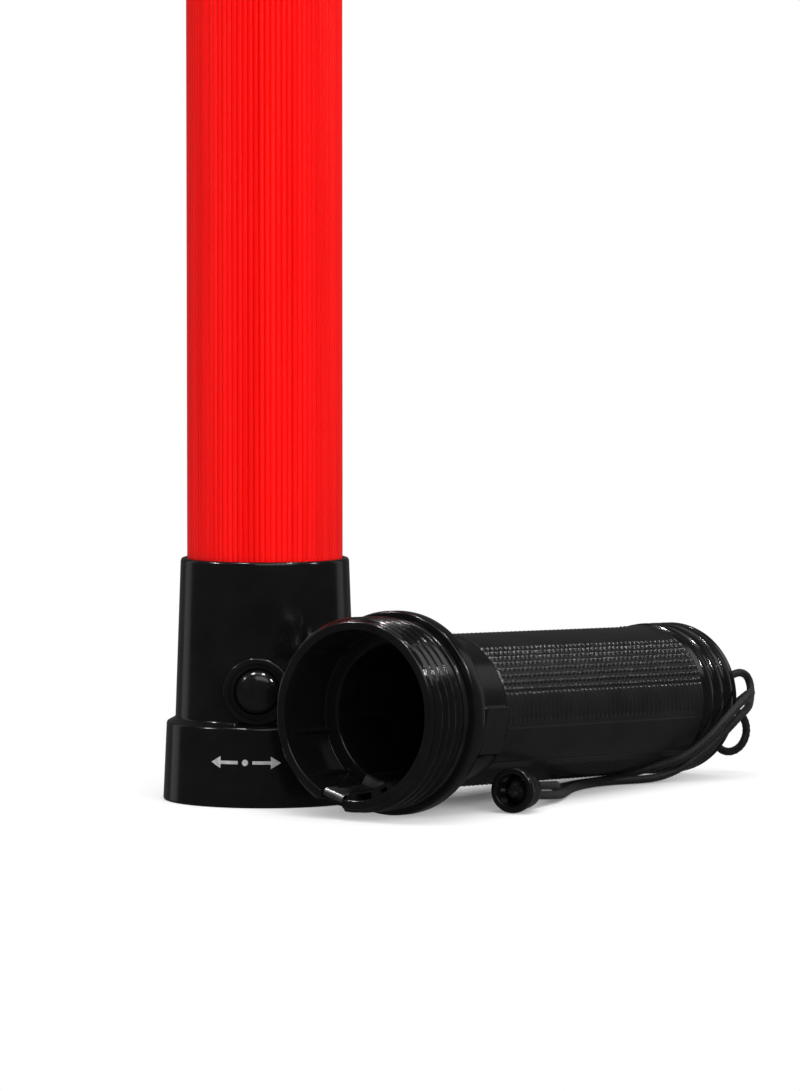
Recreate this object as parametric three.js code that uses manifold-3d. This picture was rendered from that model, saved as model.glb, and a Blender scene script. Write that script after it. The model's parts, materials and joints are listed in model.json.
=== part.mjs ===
// A traffic baton light, opened at its screw joint: the light head stands on its threaded rim and
// the battery grip lies beside it. Millimetres, +Z up, +Y along the grip from its mouth to its tail.
import * as THREE from "three";
import { mergeVertices } from "three/addons/utils/BufferGeometryUtils.js";
import Module from "manifold-3d";

const wasm = await Module();
wasm.setup();

// ---------------------------------------------------------------- driving dimensions
const GAP = 0.3; // between neighbouring pieces
const BATON_LENGTH = 540; // head and grip screwed together
const ROUND = 36; // sides of a large turned piece
const SMALL_ROUND = 20; // sides of a small turned piece

const GRIP_LENGTH = 151.75;
const GRIP_R = 19.1;
const BORE_R = 17.4; // two D cells, 34.2 mm across
const CUP_R = 21.2; // wide mouth of the battery tube
const CUP_DEPTH = 18;
const THREAD_R = 24; // crest of the male thread, a plain band in this model
const SEAL_GROOVE_R = 22.7;
const SEAL_GROOVE = 2.8; // its width
const FLANGE_R = 25.7;
const FLANGE_FROM_MOUTH = 16.4; // shoulder that the head's rim meets
const FLANGE_THICK = 5;
const TAIL_R = 20.3;
const TAIL_CAP_LENGTH = 16.5;
const LUG_FACE = 20.3; // flats for a thumb on both sides of the grip, at this distance from its axis
const LUG_LENGTH = 10.4;
const LUG_WIDTH = 12.8;
const LUG_FROM_MOUTH = 34.3; // middle of the lugs

const HEAD_BASE_R = 26.27;
const SKIRT_TOP_R = 25.35;
const SKIRT_HEIGHT = 20.1;
const CONE_BOTTOM_R = 23.1;
const CONE_TOP_R = 21.66;
const HOUSING_HEIGHT = 62.36;
const SOCKET_R = 24.2; // female thread, plain in this model
const SOCKET_DEPTH = 18;
const SKIRT_SEAM = 0.1; // between the skirt's ring and the rest of the housing
const CHAMBER_R = 21.3; // room for the electronics above the socket
const TUBE_R = 20;
const TUBE_WALL = 1.8;
const TUBE_SEAT_Z = 40;
const TIP_CAP_LENGTH = 25;
const HEAD_LENGTH = BATON_LENGTH - (GRIP_LENGTH - FLANGE_FROM_MOUTH);

const BUTTON_Z = 29.5;
const BUTTON_TURN = -59.62; // degrees from +X, where the button faces
const BUTTON_R = 5.65;
const BOSS_R = 8.6;
const BOSS_FACE = 24; // distance of the boss's lip from the head's axis

const GRIP_X = 50.963; // grip axis, from the head's axis
const MOUTH_Y = -33.7; // centre of the grip's mouth, from the head's axis

const CORD_D = 2.2;
const CORD_PAIR = 1.25; // half the spacing of the two strands where they run side by side
const BELL_R = 5.8;
const BELL_LENGTH = 10.5;

// ---------------------------------------------------------------- materials
const finish = (color, roughness, metalness = 0) =>
  new THREE.MeshStandardMaterial({ color, roughness, metalness });

const BLACK_PLASTIC = finish(0x151515, 0.3);
const RED_PLASTIC = finish(0xf51919, 0.35);
const RUBBER = finish(0x1b1b1b, 0.6);
const STEEL = finish(0xb9bcc0, 0.3, 1);
const BRASS = finish(0xc9a24a, 0.35, 1);
const WHITE_PLASTIC = finish(0xe6e6e2, 0.5);
const BOARD_GREEN = finish(0x1f6b3a, 0.5);
const LED_LENS = finish(0xf4efdc, 0.15);
const CORD_BLACK = finish(0x161616, 0.85);
const WIRE_RED = finish(0xb01818, 0.5);
const WIRE_BLACK = finish(0x111111, 0.5);

// ---------------------------------------------------------------- geometry helpers
const radians = THREE.MathUtils.degToRad;

function toSolid(geometry) {
  const bare = geometry.clone();
  bare.deleteAttribute("normal");
  bare.deleteAttribute("uv");
  const merged = mergeVertices(bare, 1e-4);
  return new wasm.Manifold(
    new wasm.Mesh({
      numProp: 3,
      vertProperties: merged.attributes.position.array,
      triVerts: new Uint32Array(merged.index.array),
    }),
  );
}

function toGeometry(solid) {
  const mesh = solid.getMesh();
  const geometry = new THREE.BufferGeometry();
  geometry.setAttribute("position", new THREE.BufferAttribute(new Float32Array(mesh.vertProperties), 3));
  geometry.setIndex(new THREE.BufferAttribute(new Uint32Array(mesh.triVerts), 1));
  geometry.computeVertexNormals();
  return geometry;
}

const join = (first, ...others) =>
  toGeometry(others.reduce((sum, other) => sum.add(toSolid(other)), toSolid(first)));

const cut = (first, ...tools) =>
  toGeometry(tools.reduce((rest, tool) => rest.subtract(toSolid(tool)), toSolid(first)));

// A solid turned about Z from an outline of [radius, height] points, listed anticlockwise
// when radius runs right and height runs up.
function turned(outline, sides = ROUND) {
  const closed = [...outline, outline[0]];
  const points = closed.map(([radius, height]) => new THREE.Vector2(radius, height));
  return new THREE.LatheGeometry(points, sides).rotateX(Math.PI / 2);
}

// A plain ring or disc about Z.
const ring = (inner, outer, low, high, sides = ROUND) =>
  turned([[inner, low], [outer, low], [outer, high], [inner, high]], sides);

const disc = (radius, low, high, sides = SMALL_ROUND) =>
  new THREE.CylinderGeometry(radius, radius, high - low, sides)
    .rotateX(Math.PI / 2)
    .translate(0, 0, (low + high) / 2);

const block = (x, y, z, width, depth, height) =>
  new THREE.BoxGeometry(width, depth, height).translate(x, y, z);

const smoothLine = (points) =>
  new THREE.CatmullRomCurve3(points.map((p) => new THREE.Vector3(...p)), false, "centripetal");

// A round tube of constant section along a path.
function tubeAlong(path, diameter, steps, sides) {
  const section = new THREE.Shape(
    Array.from({ length: sides }, (_, i) => {
      const angle = (2 * Math.PI * i) / sides;
      return new THREE.Vector2(Math.cos(angle), Math.sin(angle)).multiplyScalar(diameter / 2);
    }),
  );
  return new THREE.ExtrudeGeometry(section, { steps, extrudePath: path, curveSegments: sides });
}

// A smooth line that rounds off its control points: a uniform cubic B-spline from the first to the last.
class RopePath extends THREE.Curve {
  constructor(points) {
    super();
    const control = points.map((p) => new THREE.Vector3(...p));
    const beyond = (end, next) => end.clone().multiplyScalar(2).sub(next);
    this.control = [beyond(control[0], control[1]), ...control, beyond(control.at(-1), control.at(-2))];
  }

  getPoint(t, target = new THREE.Vector3()) {
    const spans = this.control.length - 3;
    const span = Math.min(Math.floor(t * spans), spans - 1);
    const u = t * spans - span;
    const weights = [(1 - u) ** 3, 3 * u ** 3 - 6 * u ** 2 + 4, -3 * u ** 3 + 3 * u ** 2 + 3 * u + 1, u ** 3];
    target.set(0, 0, 0);
    weights.forEach((weight, i) => target.addScaledVector(this.control[span + i], weight / 6));
    return target;
  }
}

const assembly = new THREE.Group();
const head = new THREE.Group();
const grip = new THREE.Group();
const lanyard = new THREE.Group();
const halves = new THREE.Group();

function piece(group, name, geometry, material) {
  const mesh = new THREE.Mesh(geometry, material);
  mesh.name = name;
  group.add(mesh);
  return mesh;
}

// ---------------------------------------------------------------- grip: local Z from tail to mouth
const cupBottom = GRIP_LENGTH - CUP_DEPTH;
const flangeTop = GRIP_LENGTH - FLANGE_FROM_MOUTH;
const flangeBottom = flangeTop - FLANGE_THICK;
const STRIP_ANGLE = radians(-105); // where the contact strip runs, from +X towards the top
const STRIP_WIDTH = 6;
const STRIP_THICK = 0.5;

// Turns a shape drawn with +X as its outward direction to an angle round the grip.
const aroundAxis = (geometry, angle) => geometry.rotateZ(angle);

function gripShell() {
  const body = turned([
    [BORE_R, TAIL_CAP_LENGTH + GAP],
    [GRIP_R, TAIL_CAP_LENGTH + GAP],
    [GRIP_R, flangeBottom - 7.2],
    [GRIP_R + 0.9, flangeBottom - 4],
    [GRIP_R + 3.4, flangeBottom],
    [FLANGE_R - 0.8, flangeBottom],
    [FLANGE_R, flangeBottom + 0.8],
    [FLANGE_R, flangeTop - 0.6],
    [FLANGE_R - 0.6, flangeTop],
    [SEAL_GROOVE_R, flangeTop],
    [SEAL_GROOVE_R, flangeTop + SEAL_GROOVE],
    [THREAD_R, flangeTop + SEAL_GROOVE],
    [THREAD_R, GRIP_LENGTH - 0.9],
    [THREAD_R - 0.9, GRIP_LENGTH],
    [CUP_R + 0.3, GRIP_LENGTH],
    [CUP_R, GRIP_LENGTH - 0.4],
    [CUP_R, cupBottom],
    [BORE_R, cupBottom - 2.2],
  ]);
  const lugRoot = BORE_R + GAP;
  const lug = () =>
    block((lugRoot + LUG_FACE) / 2, 0, GRIP_LENGTH - LUG_FROM_MOUTH, LUG_FACE - lugRoot, LUG_WIDTH, LUG_LENGTH);
  const lugs = [-11.5, 168.5].map((degrees) => aroundAxis(lug(), radians(degrees)));
  const ribs = [20, 75, 135, 195, 305].map((degrees) =>
    aroundAxis(block(CUP_R - 0.1, 0, cupBottom + 6.5, 1.4, 1, 13), radians(degrees)),
  );
  const stripGroove = aroundAxis(block(BORE_R, 0, 80, 2, STRIP_WIDTH + 1, 124), STRIP_ANGLE);
  const rimNotch = aroundAxis(block(CUP_R + 1, 0, GRIP_LENGTH, 4.4, STRIP_WIDTH + 1, 4), STRIP_ANGLE);
  return cut(join(body, ...lugs, ...ribs), stripGroove, rimNotch);
}

const END_WALL = 7; // solid end of the tail cap
const RIDGE_START = 2.3; // first line where the cap is at its full radius
const SLOT_R = 13.4; // distance of the lanyard slot from the axis
const SLOT_ANGLE = radians(4);
const BAR_DEPTH = 2.2;
const BAR_R = 1.5;

function tailCap() {
  const shell = turned([
    [0, 0],
    [TAIL_R - 2.2, 0],
    [TAIL_R - 0.7, 0.8],
    [TAIL_R, RIDGE_START],
    [TAIL_R, TAIL_CAP_LENGTH - 2],
    [TAIL_R - 0.7, TAIL_CAP_LENGTH],
    [BORE_R - GAP, TAIL_CAP_LENGTH],
    [BORE_R - GAP, TAIL_CAP_LENGTH + 5],
    [15, TAIL_CAP_LENGTH + 5],
    [15, END_WALL],
    [0, END_WALL],
  ]);
  const slot = aroundAxis(block(SLOT_R, 0, 2.4, 5.8, 13, 5), SLOT_ANGLE);
  const bar = new THREE.CylinderGeometry(BAR_R, BAR_R, 7, 12).rotateZ(Math.PI / 2);
  bar.translate(SLOT_R, 0, BAR_DEPTH);
  return join(cut(shell, slot), aroundAxis(bar, SLOT_ANGLE));
}

const STRIP_MOUTH_R = 20.4; // where it stands against the wide mouth's wall
const STRIP_FOLD_R = 23; // end of the fold over the rim
const STRIP_FOLD_Z = GRIP_LENGTH - 1.2;

// A bent strip: its side outline follows the bore, steps out into the mouth and folds over the rim.
function contactStrip() {
  const half = STRIP_THICK / 2;
  const run = [
    [13.6, END_WALL + 2.2],
    [14.1, TAIL_CAP_LENGTH + 5.6],
    [BORE_R, TAIL_CAP_LENGTH + 8.6],
    [BORE_R, cupBottom - 1.6],
    [STRIP_MOUTH_R, cupBottom + 1.2],
  ];
  const outer = run.map(([radius, z]) => new THREE.Vector2(radius + half, z));
  const inner = run.map(([radius, z]) => new THREE.Vector2(radius - half, z));
  const side = new THREE.Shape([
    new THREE.Vector2(13.6, END_WALL + 1.2),
    ...outer,
    new THREE.Vector2(STRIP_MOUTH_R + half, STRIP_FOLD_Z - half),
    new THREE.Vector2(STRIP_FOLD_R, STRIP_FOLD_Z - half),
    new THREE.Vector2(STRIP_FOLD_R, STRIP_FOLD_Z + half),
    new THREE.Vector2(STRIP_MOUTH_R - half, STRIP_FOLD_Z + half),
    ...inner.reverse(),
  ]);
  const flat = new THREE.ExtrudeGeometry(side, { depth: STRIP_WIDTH, bevelEnabled: false });
  flat.translate(0, 0, -STRIP_WIDTH / 2).rotateX(Math.PI / 2);
  return aroundAxis(flat, STRIP_ANGLE);
}

const SEAL_R = 24.2;
const sealRing = () =>
  ring(SEAL_GROOVE_R + GAP, SEAL_R, flangeTop + GAP, flangeTop + SEAL_GROOVE - GAP);

const SPRING_FREE_Z = 34;
const SPRING_WIRE = 1.4;

function tailSpring() {
  const turns = 5;
  const perTurn = 10;
  const low = END_WALL + 0.8 + GAP + SPRING_WIRE / 2;
  const high = SPRING_FREE_Z - GAP - SPRING_WIRE / 2;
  const points = Array.from({ length: turns * perTurn + 1 }, (_, i) => {
    const t = i / (turns * perTurn);
    const radius = THREE.MathUtils.lerp(11.5, 6.5, t);
    const angle = 2 * Math.PI * turns * t;
    return [radius * Math.cos(angle), radius * Math.sin(angle), THREE.MathUtils.lerp(low, high, t)];
  });
  return tubeAlong(smoothLine(points), SPRING_WIRE, turns * perTurn, 6);
}

piece(grip, "grip_shell", gripShell(), BLACK_PLASTIC);
piece(grip, "tail_cap", tailCap(), BLACK_PLASTIC);
piece(grip, "contact_strip", contactStrip(), STEEL);
piece(grip, "seal_ring", sealRing(), RUBBER);
piece(grip, "tail_spring_plate", disc(13, END_WALL + GAP, END_WALL + 0.8), STEEL);
piece(grip, "tail_spring", tailSpring(), STEEL);
piece(grip, "tail_spring_end_turn", ring(3.5, 7.6, SPRING_FREE_Z, SPRING_FREE_Z + 1.2, SMALL_ROUND), STEEL);

// The grip rests on its flange and on the full radius of its tail cap.
const flangeContact = flangeBottom + 0.8;
const tilt = Math.atan2(FLANGE_R - TAIL_R, flangeContact - RIDGE_START);
grip.rotation.x = Math.PI / 2 - tilt;
grip.position.set(
  GRIP_X,
  MOUTH_Y + GRIP_LENGTH * Math.cos(tilt),
  TAIL_R * Math.cos(tilt) - RIDGE_START * Math.sin(tilt),
);

// ---------------------------------------------------------------- head: local Z up from its rim
const towardsButton = radians(BUTTON_TURN);

// Places a shape drawn along +Z on the button's axis, with z as the distance from the head's axis.
const onButtonAxis = (geometry) =>
  geometry.rotateY(Math.PI / 2).rotateZ(towardsButton).translate(0, 0, BUTTON_Z);

// Turns a shape drawn with +X as its outward direction to face the way the button faces.
const facingButton = (geometry) => geometry.rotateZ(towardsButton);

// The skirt's outside narrows evenly upwards.
const skirtRadius = (height) =>
  THREE.MathUtils.mapLinear(height, 0.6, SKIRT_HEIGHT, HEAD_BASE_R, SKIRT_TOP_R);

// The threaded skirt is a ring of its own, so that its socket stays open in the collision model.
const headSkirt = () =>
  turned([
    [SOCKET_R, 0],
    [HEAD_BASE_R - 0.5, 0],
    [HEAD_BASE_R, 0.6],
    [skirtRadius(SOCKET_DEPTH - SKIRT_SEAM), SOCKET_DEPTH - SKIRT_SEAM],
    [SOCKET_R, SOCKET_DEPTH - SKIRT_SEAM],
  ]);

function headHousing() {
  const body = turned([
    [CHAMBER_R, SOCKET_DEPTH],
    [skirtRadius(SOCKET_DEPTH), SOCKET_DEPTH],
    [SKIRT_TOP_R, SKIRT_HEIGHT],
    [CONE_BOTTOM_R, SKIRT_HEIGHT + 1.2],
    [CONE_TOP_R, HOUSING_HEIGHT - 1],
    [CONE_TOP_R - 0.4, HOUSING_HEIGHT - 0.3],
    [CONE_TOP_R - 1, HOUSING_HEIGHT],
    [TUBE_R + GAP, HOUSING_HEIGHT],
    [TUBE_R + GAP, TUBE_SEAT_Z],
    [TUBE_R - TUBE_WALL - 0.4, TUBE_SEAT_Z],
    [TUBE_R - TUBE_WALL - 0.4, TUBE_SEAT_Z - 2],
    [CHAMBER_R, TUBE_SEAT_Z - 2],
  ]);
  const boss = onButtonAxis(disc(BOSS_R, CHAMBER_R - 2, BOSS_FACE, 36));
  const inside = ring(0.001, CHAMBER_R, SOCKET_DEPTH + 1, TUBE_SEAT_Z - 2);
  const recess = onButtonAxis(disc(BOSS_R - 1.3, BOSS_FACE - 1, BOSS_FACE + 5, 36));
  const hole = onButtonAxis(disc(BUTTON_R + GAP, 10, BOSS_FACE + 5));
  return cut(join(body, boss), inside, recess, hole);
}

const BUTTON_BACK = 18.6;
const BUTTON_FLANGE = 0.9;
const BUTTON_TOP = 25.9;

function buttonCap() {
  const outline = [
    [0, BUTTON_BACK],
    [BUTTON_R + 1.35, BUTTON_BACK],
    [BUTTON_R + 1.35, BUTTON_BACK + BUTTON_FLANGE],
    [BUTTON_R, BUTTON_BACK + BUTTON_FLANGE],
    [BUTTON_R, BUTTON_TOP - 1.9],
    [BUTTON_R - 0.8, BUTTON_TOP - 1],
    [BUTTON_R - 2.6, BUTTON_TOP - 0.3],
    [0, BUTTON_TOP],
  ];
  return onButtonAxis(turned(outline, SMALL_ROUND));
}

const FRAME_TOP = TUBE_SEAT_Z - 2 - 0.4;
const FRAME_BOTTOM = 21.5;

const PLUNGER_R = 1.5;
const PLUNGER_LOW = 14.4;
const PLUNGER_TRAVEL = 1.8;
const SWITCH_BODY = 8.4;
const SWITCH_FACE = PLUNGER_LOW - GAP;

const switchPlunger = () => onButtonAxis(disc(PLUNGER_R, PLUNGER_LOW, BUTTON_BACK - GAP, 12));

// The plunger sinks into a pocket in the switch's face.
function pushSwitchBody() {
  const depth = 7.4;
  const body = block(SWITCH_FACE - depth / 2, 0, BUTTON_Z, depth, SWITCH_BODY, SWITCH_BODY);
  const pocket = disc(PLUNGER_R + GAP, SWITCH_FACE - PLUNGER_TRAVEL - GAP, SWITCH_FACE + 1, 12);
  return cut(facingButton(body), onButtonAxis(pocket));
}

function innerFrame() {
  const wall = ring(17.6, CHAMBER_R - 0.9, FRAME_BOTTOM, FRAME_TOP);
  const roof = disc(18, FRAME_TOP - 1.6, FRAME_TOP, ROUND);
  const posts = [1, -1].map((side) =>
    disc(2.6, FRAME_BOTTOM, FRAME_TOP - 1).translate(...postPlace(side), 0),
  );
  const window = onButtonAxis(disc(8.2, 12, 24));
  const slot = block(0, 0, FRAME_TOP, 9, 9, 6);
  const screwHoles = [1, -1].map((side) =>
    disc(1.3, FRAME_BOTTOM - 1, FRAME_BOTTOM + 8).translate(...postPlace(side), 0),
  );
  return cut(join(wall, roof, ...posts), window, slot, ...screwHoles);
}

// The two posts stand across the button's direction.
function postPlace(side) {
  const angle = towardsButton + (side * Math.PI) / 2;
  return [14.2 * Math.cos(angle), 14.2 * Math.sin(angle)];
}

const BOARD_LOW = 19.6;
const BOARD_HIGH = FRAME_BOTTOM - GAP;

function contactBoard() {
  const holes = [1, -1].map((side) =>
    disc(1.4, BOARD_LOW - 1, BOARD_HIGH + 1).translate(...postPlace(side), 0),
  );
  return cut(disc(CHAMBER_R - GAP, BOARD_LOW, BOARD_HIGH, ROUND), ...holes);
}

function contactScrew(side) {
  const outline = [
    [0, BOARD_LOW - 1.6],
    [2.2, BOARD_LOW - 1.6],
    [2.4, BOARD_LOW - 1.1],
    [2.4, BOARD_LOW - GAP],
    [1.0, BOARD_LOW - GAP],
    [1.0, FRAME_BOTTOM + 6],
    [0, FRAME_BOTTOM + 7],
  ];
  return turned(outline, 12).translate(...postPlace(side), 0);
}

// The raised button that meets the front battery.
function centreContact() {
  const top = BOARD_LOW - GAP;
  return turned([[0, 17.2], [2.4, 17.2], [4, 18.4], [4, top], [0, top]], SMALL_ROUND);
}

const tubeTop = HEAD_LENGTH - TIP_CAP_LENGTH;

function tipCap() {
  const plugR = TUBE_R - TUBE_WALL - GAP;
  const outerR = TUBE_R + 0.9;
  const domeRadii = [0, 12, 25, 40, 55, 70, 82];
  const dome = domeRadii.map((degrees) => {
    const angle = radians(degrees);
    return [3 + (outerR - 3) * Math.cos(angle), HEAD_LENGTH - 9 + 9 * Math.sin(angle)];
  });
  return turned([
    [plugR, tubeTop - 10],
    [plugR, tubeTop + GAP],
    [outerR, tubeTop + GAP],
    ...dome,
    [0, HEAD_LENGTH],
    [0, HEAD_LENGTH - 3],
    [plugR - 2, HEAD_LENGTH - 12],
    [plugR - 2, tubeTop - 10],
  ]);
}

const SPINE_LOW = TUBE_SEAT_Z + 3;
const SPINE_HIGH = 356;
const SPINE_WIDTH = 12;
const SPINE_THICK = 1.6;
const LED_COUNT = 8;
const LED_SIZE = 5;
const LED_HEIGHT = 1.8;
const DRIVER_BOARD_THICK = 1.4;

function ledSpine() {
  const length = SPINE_HIGH - SPINE_LOW;
  return facingButton(block(0, 0, SPINE_LOW + length / 2, SPINE_THICK, SPINE_WIDTH, length));
}

function spineHolder(low, high) {
  const slot = block(0, 0, (low + high) / 2, SPINE_THICK + 2 * GAP, SPINE_WIDTH + 2 * GAP, high - low + 2);
  const wireWay = block(5, 0, (low + high) / 2, 4, 8, high - low + 2);
  return facingButton(cut(disc(TUBE_R - TUBE_WALL - GAP, low, high, ROUND), slot, wireWay));
}

function led(index) {
  const z = THREE.MathUtils.lerp(SPINE_LOW + 32, SPINE_HIGH - 20, index / (LED_COUNT - 1));
  const out = SPINE_THICK / 2 + GAP;
  return facingButton(block(out + LED_HEIGHT / 2, 0, z, LED_HEIGHT, LED_SIZE, LED_SIZE));
}

piece(head, "head_gasket", ring(21.6, 23.8, FLANGE_FROM_MOUTH, SOCKET_DEPTH - GAP), RUBBER);
piece(head, "head_skirt", headSkirt(), BLACK_PLASTIC);
piece(head, "head_housing", headHousing(), BLACK_PLASTIC);
piece(head, "diffuser_tube", ring(TUBE_R - TUBE_WALL, TUBE_R, TUBE_SEAT_Z + GAP, tubeTop), RED_PLASTIC);
piece(head, "tip_cap", tipCap(), BLACK_PLASTIC);
piece(head, "button_cap", buttonCap(), RUBBER);
piece(head, "switch_plunger", switchPlunger(), WHITE_PLASTIC);
piece(head, "push_switch_body", pushSwitchBody(), WHITE_PLASTIC);
piece(head, "inner_frame", innerFrame(), WHITE_PLASTIC);
piece(head, "contact_board", contactBoard(), BOARD_GREEN);
piece(head, "ring_contact", ring(17.6, 20.9, BOARD_LOW - 0.8, BOARD_LOW - GAP), STEEL);
piece(head, "centre_contact", centreContact(), BRASS);
piece(head, "contact_screw_1", contactScrew(1), STEEL);
piece(head, "contact_screw_2", contactScrew(-1), STEEL);
piece(head, "driver_board", facingButton(block(-9, 0, 28.6, DRIVER_BOARD_THICK, 16, 12)), BOARD_GREEN);
piece(head, "led_spine", ledSpine(), BOARD_GREEN);
piece(head, "spine_holder_lower", spineHolder(TUBE_SEAT_Z + 6, TUBE_SEAT_Z + 12), WHITE_PLASTIC);
piece(head, "spine_holder_upper", spineHolder(SPINE_HIGH - 8, SPINE_HIGH - 3), WHITE_PLASTIC);
for (let i = 0; i < LED_COUNT; i++) {
  piece(head, `led_${i + 1}`, led(i), LED_LENS);
}
const WIRE_D = 1.4;
const SWITCH_LEAD = [
  [-7.9, -4, 25],
  [-5, -4, 24.4],
  [0, -3.4, 25],
  [4, -2.4, 27.6],
  [6.3, -2, 28.6],
];

// From the driver board up to the LED spine, on either side of its middle.
const spineLead = (side) => [
  [-7.9, side * 5, 32],
  [-5, side * 4, 33.4],
  [-2.6, side * 2.6, 36],
  [-2.4, side * 2.4, 40],
  [-2.2, side * 2.4, 44],
  [-1.6 - GAP, side * 2.6, 45.5],
];
const lead = (points) => facingButton(tubeAlong(smoothLine(points), WIRE_D, 9, 8));

piece(head, "switch_lead", lead(SWITCH_LEAD), WIRE_BLACK);
piece(head, "spine_lead_plus", lead(spineLead(1)), WIRE_RED);
piece(head, "spine_lead_minus", lead(spineLead(-1)), WIRE_BLACK);

// ---------------------------------------------------------------- lanyard, in the part's own frame
const CORD_SIDES = 8;
const BELL_TURN = 9.26; // degrees from +Y towards -X, where the bell's back points
const BELL_DROP = 5; // degrees that its back hangs lower than its mouth
const BELL_MOUTH = [48.4, -38.7, 5.97];
const BELL_CAVITY = 8;

// From the knot, under the grip's side, up round the tail cap and by a slack curl into the slot.
const STRAND_A = [
  [47.1, -30.9, 3.9], [46.15, -25, 3.4], [45.35, -20.1, 2.95], [44.5, -15, 2.5], [43.1, -9.5, 2],
  [40.9, -3.8, 1.5], [38, 2.4, 1.2], [34.8, 9, 1.2], [31.9, 16.6, 1.2], [30.4, 24.4, 1.2],
  [30.7, 31.6, 1.2], [32.8, 37.8, 1.2], [35.7, 42.8, 1.2], [38, 47.6, 1.4], [39.6, 52.4, 2.5],
  [40.8, 56.6, 4], [42, 60.4, 5.8], [43.6, 63.9, 8.1], [45.3, 67.4, 11], [46.7, 71, 14.2],
  [47.3, 75.2, 16.8], [46.4, 79.6, 17.9], [44.4, 83.8, 18.6], [42.5, 87.6, 20.2], [41.2, 89.8, 22.9],
  [40.5, 89.2, 25.8], [40.2, 85.6, 27.1], [40.15, 80.8, 26.2], [40.15, 77.2, 25.3], [40.15, 74.4, 25.2],
];
// Beside the first strand, nearer the grip, and over the tail cap's edge into the slot.
const STRAND_B = [
  [47.1, -30.7, 6.4], [46.15, -24.8, 5.9], [45.35, -19.9, 5.45], [44.4, -14.8, 5], [42.7, -9.2, 4.5],
  [39.6, -4, 3.9], [35.6, 1.2, 2.9], [31.7, 7.6, 1.6], [29, 16, 1.2], [27.5, 24.6, 1.2],
  [28, 32.4, 1.2], [29.9, 38, 1.5], [32.4, 42.3, 2.5], [35.4, 46, 3.7], [38.8, 49.4, 4.8],
  [41.8, 52.4, 6.1], [44.1, 55.8, 8.1], [46, 59, 10.7], [47.4, 62.6, 13.8], [48.3, 66.8, 16.9],
  [48.7, 71.4, 19.7], [48.9, 75.6, 21.6], [48.2, 79, 22.4], [45.9, 81.2, 22], [43.2, 81, 19.9],
  [41.3, 78.8, 17.6], [40.7, 76.6, 17.2], [40.7, 74.4, 17.2],
];
// The hitch's slack bight hangs out of one side of the slot and goes back in at the other.
const HITCH = [
  [37.55, 74.4, 25], [37.5, 77.2, 25], [37.2, 80.8, 24.4], [35.7, 83.6, 20.9], [34, 83.9, 15.8],
  [33.1, 83.4, 10.6], [34.2, 83.8, 6.2], [37.3, 85, 4.8], [40.2, 86.8, 6.6], [41.4, 87.9, 10.6],
  [41, 87, 14.6], [39.7, 84, 17], [38.5, 80.6, 17.3], [38.1, 77.2, 17.1], [38.1, 74.4, 17.05],
];

const bell = new THREE.Group();
const bellTurn = radians(BELL_TURN);
const bellDrop = radians(BELL_DROP);
const bellBack = new THREE.Vector3(
  -Math.sin(bellTurn) * Math.cos(bellDrop),
  Math.cos(bellTurn) * Math.cos(bellDrop),
  -Math.sin(bellDrop),
);
bell.position.set(...BELL_MOUTH);
bell.quaternion.setFromUnitVectors(new THREE.Vector3(0, 0, 1), bellBack);

// Local Z runs from the bell's open mouth to its back, where the strands go in.
const bellOutline = [
  [4.1, 0],
  [BELL_R - 0.5, 0],
  [BELL_R, 0.5],
  [BELL_R, 2.2],
  [BELL_R - 0.5, 3],
  [4.7, 8.6],
  [3.9, BELL_LENGTH],
  [CORD_PAIR + CORD_D / 2 + 0.35, BELL_LENGTH],
  [CORD_PAIR + CORD_D / 2 + 0.35, BELL_CAVITY],
  [4.1, BELL_CAVITY],
];
const knot = new THREE.SphereGeometry(3.1, 14, 10).scale(1, 1, 0.9).translate(0, 0, 4.9);

piece(lanyard, "lanyard_strand_a", tubeAlong(new RopePath(STRAND_A), CORD_D, 46, CORD_SIDES), CORD_BLACK);
piece(lanyard, "lanyard_strand_b", tubeAlong(new RopePath(STRAND_B), CORD_D, 44, CORD_SIDES), CORD_BLACK);
piece(lanyard, "lanyard_hitch", tubeAlong(new RopePath(HITCH), CORD_D, 22, CORD_SIDES), CORD_BLACK);
piece(bell, "lanyard_knot", knot, CORD_BLACK);
piece(bell, "cord_bell", turned(bellOutline, SMALL_ROUND), BLACK_PLASTIC);
lanyard.add(bell);

// ---------------------------------------------------------------- the part
// Its origin is under the middle of the two halves, on the surface that they stand on.
halves.add(head, grip);
halves.updateMatrixWorld(true);
const outside = new THREE.Box3().setFromObject(halves, true);
const middle = outside.getCenter(new THREE.Vector3());
halves.position.set(-middle.x, -middle.y, -outside.min.z);
assembly.add(halves, lanyard);

export default assembly;
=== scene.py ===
"""Looks of a traffic baton light, opened at its screw joint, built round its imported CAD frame."""
import json
import math

import bmesh
import bpy
import numpy as np
from mathutils import Matrix, Vector


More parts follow.
